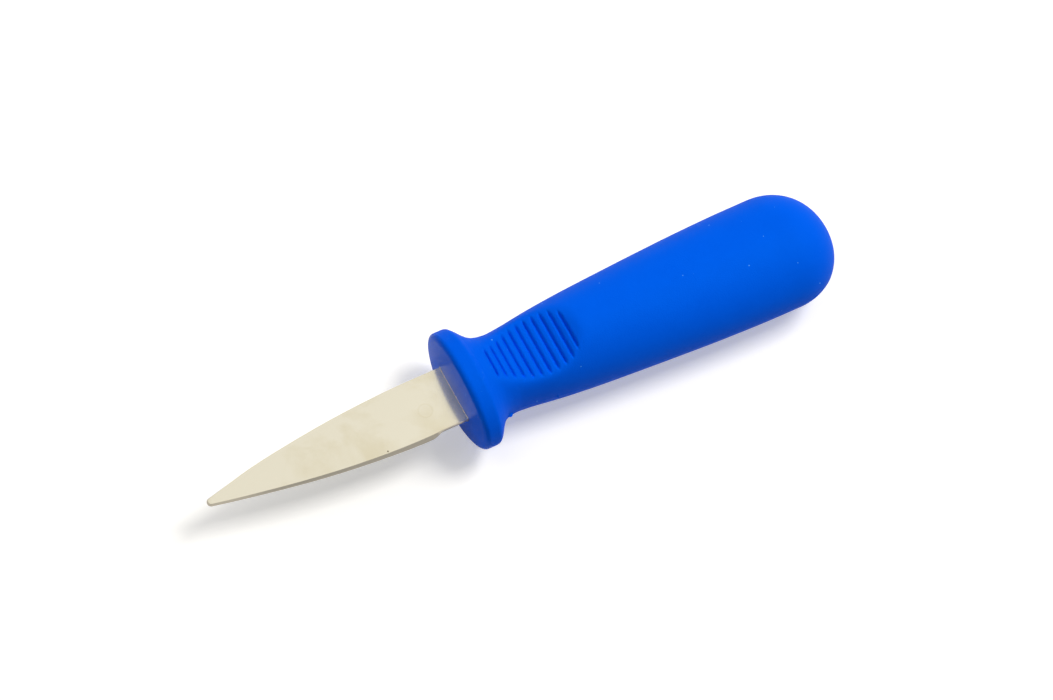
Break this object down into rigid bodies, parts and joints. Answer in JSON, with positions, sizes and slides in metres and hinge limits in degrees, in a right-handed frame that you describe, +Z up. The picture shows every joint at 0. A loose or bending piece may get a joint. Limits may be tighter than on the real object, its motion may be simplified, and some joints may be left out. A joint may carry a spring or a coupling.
{
  "type": "oyster knife",
  "caption": "Short stiff round-pointed steel blade for prying shellfish open, its tang moulded into a swelling plastic handle with an oval guard and ribbed thumb rests.",
  "frame": {"origin": "middle of the knife's bounding box, on the surface that the knife lies on", "axes": "+X along the knife towards the blade's tip, +Y across the blade towards its cutting edge, +Z up out of the broad side"},
  "size_m": [0.167, 0.0308, 0.0235],
  "materials": {
    "blade_steel": "satin stainless steel, polished on the flats and ground along both sides",
    "handle_plastic": "bright blue polypropylene with a fine moulded grain"
  },
  "bodies": {
    "root": {"blade": "blade_steel", "handle": "handle_plastic"}
  },
  "joints": []
}
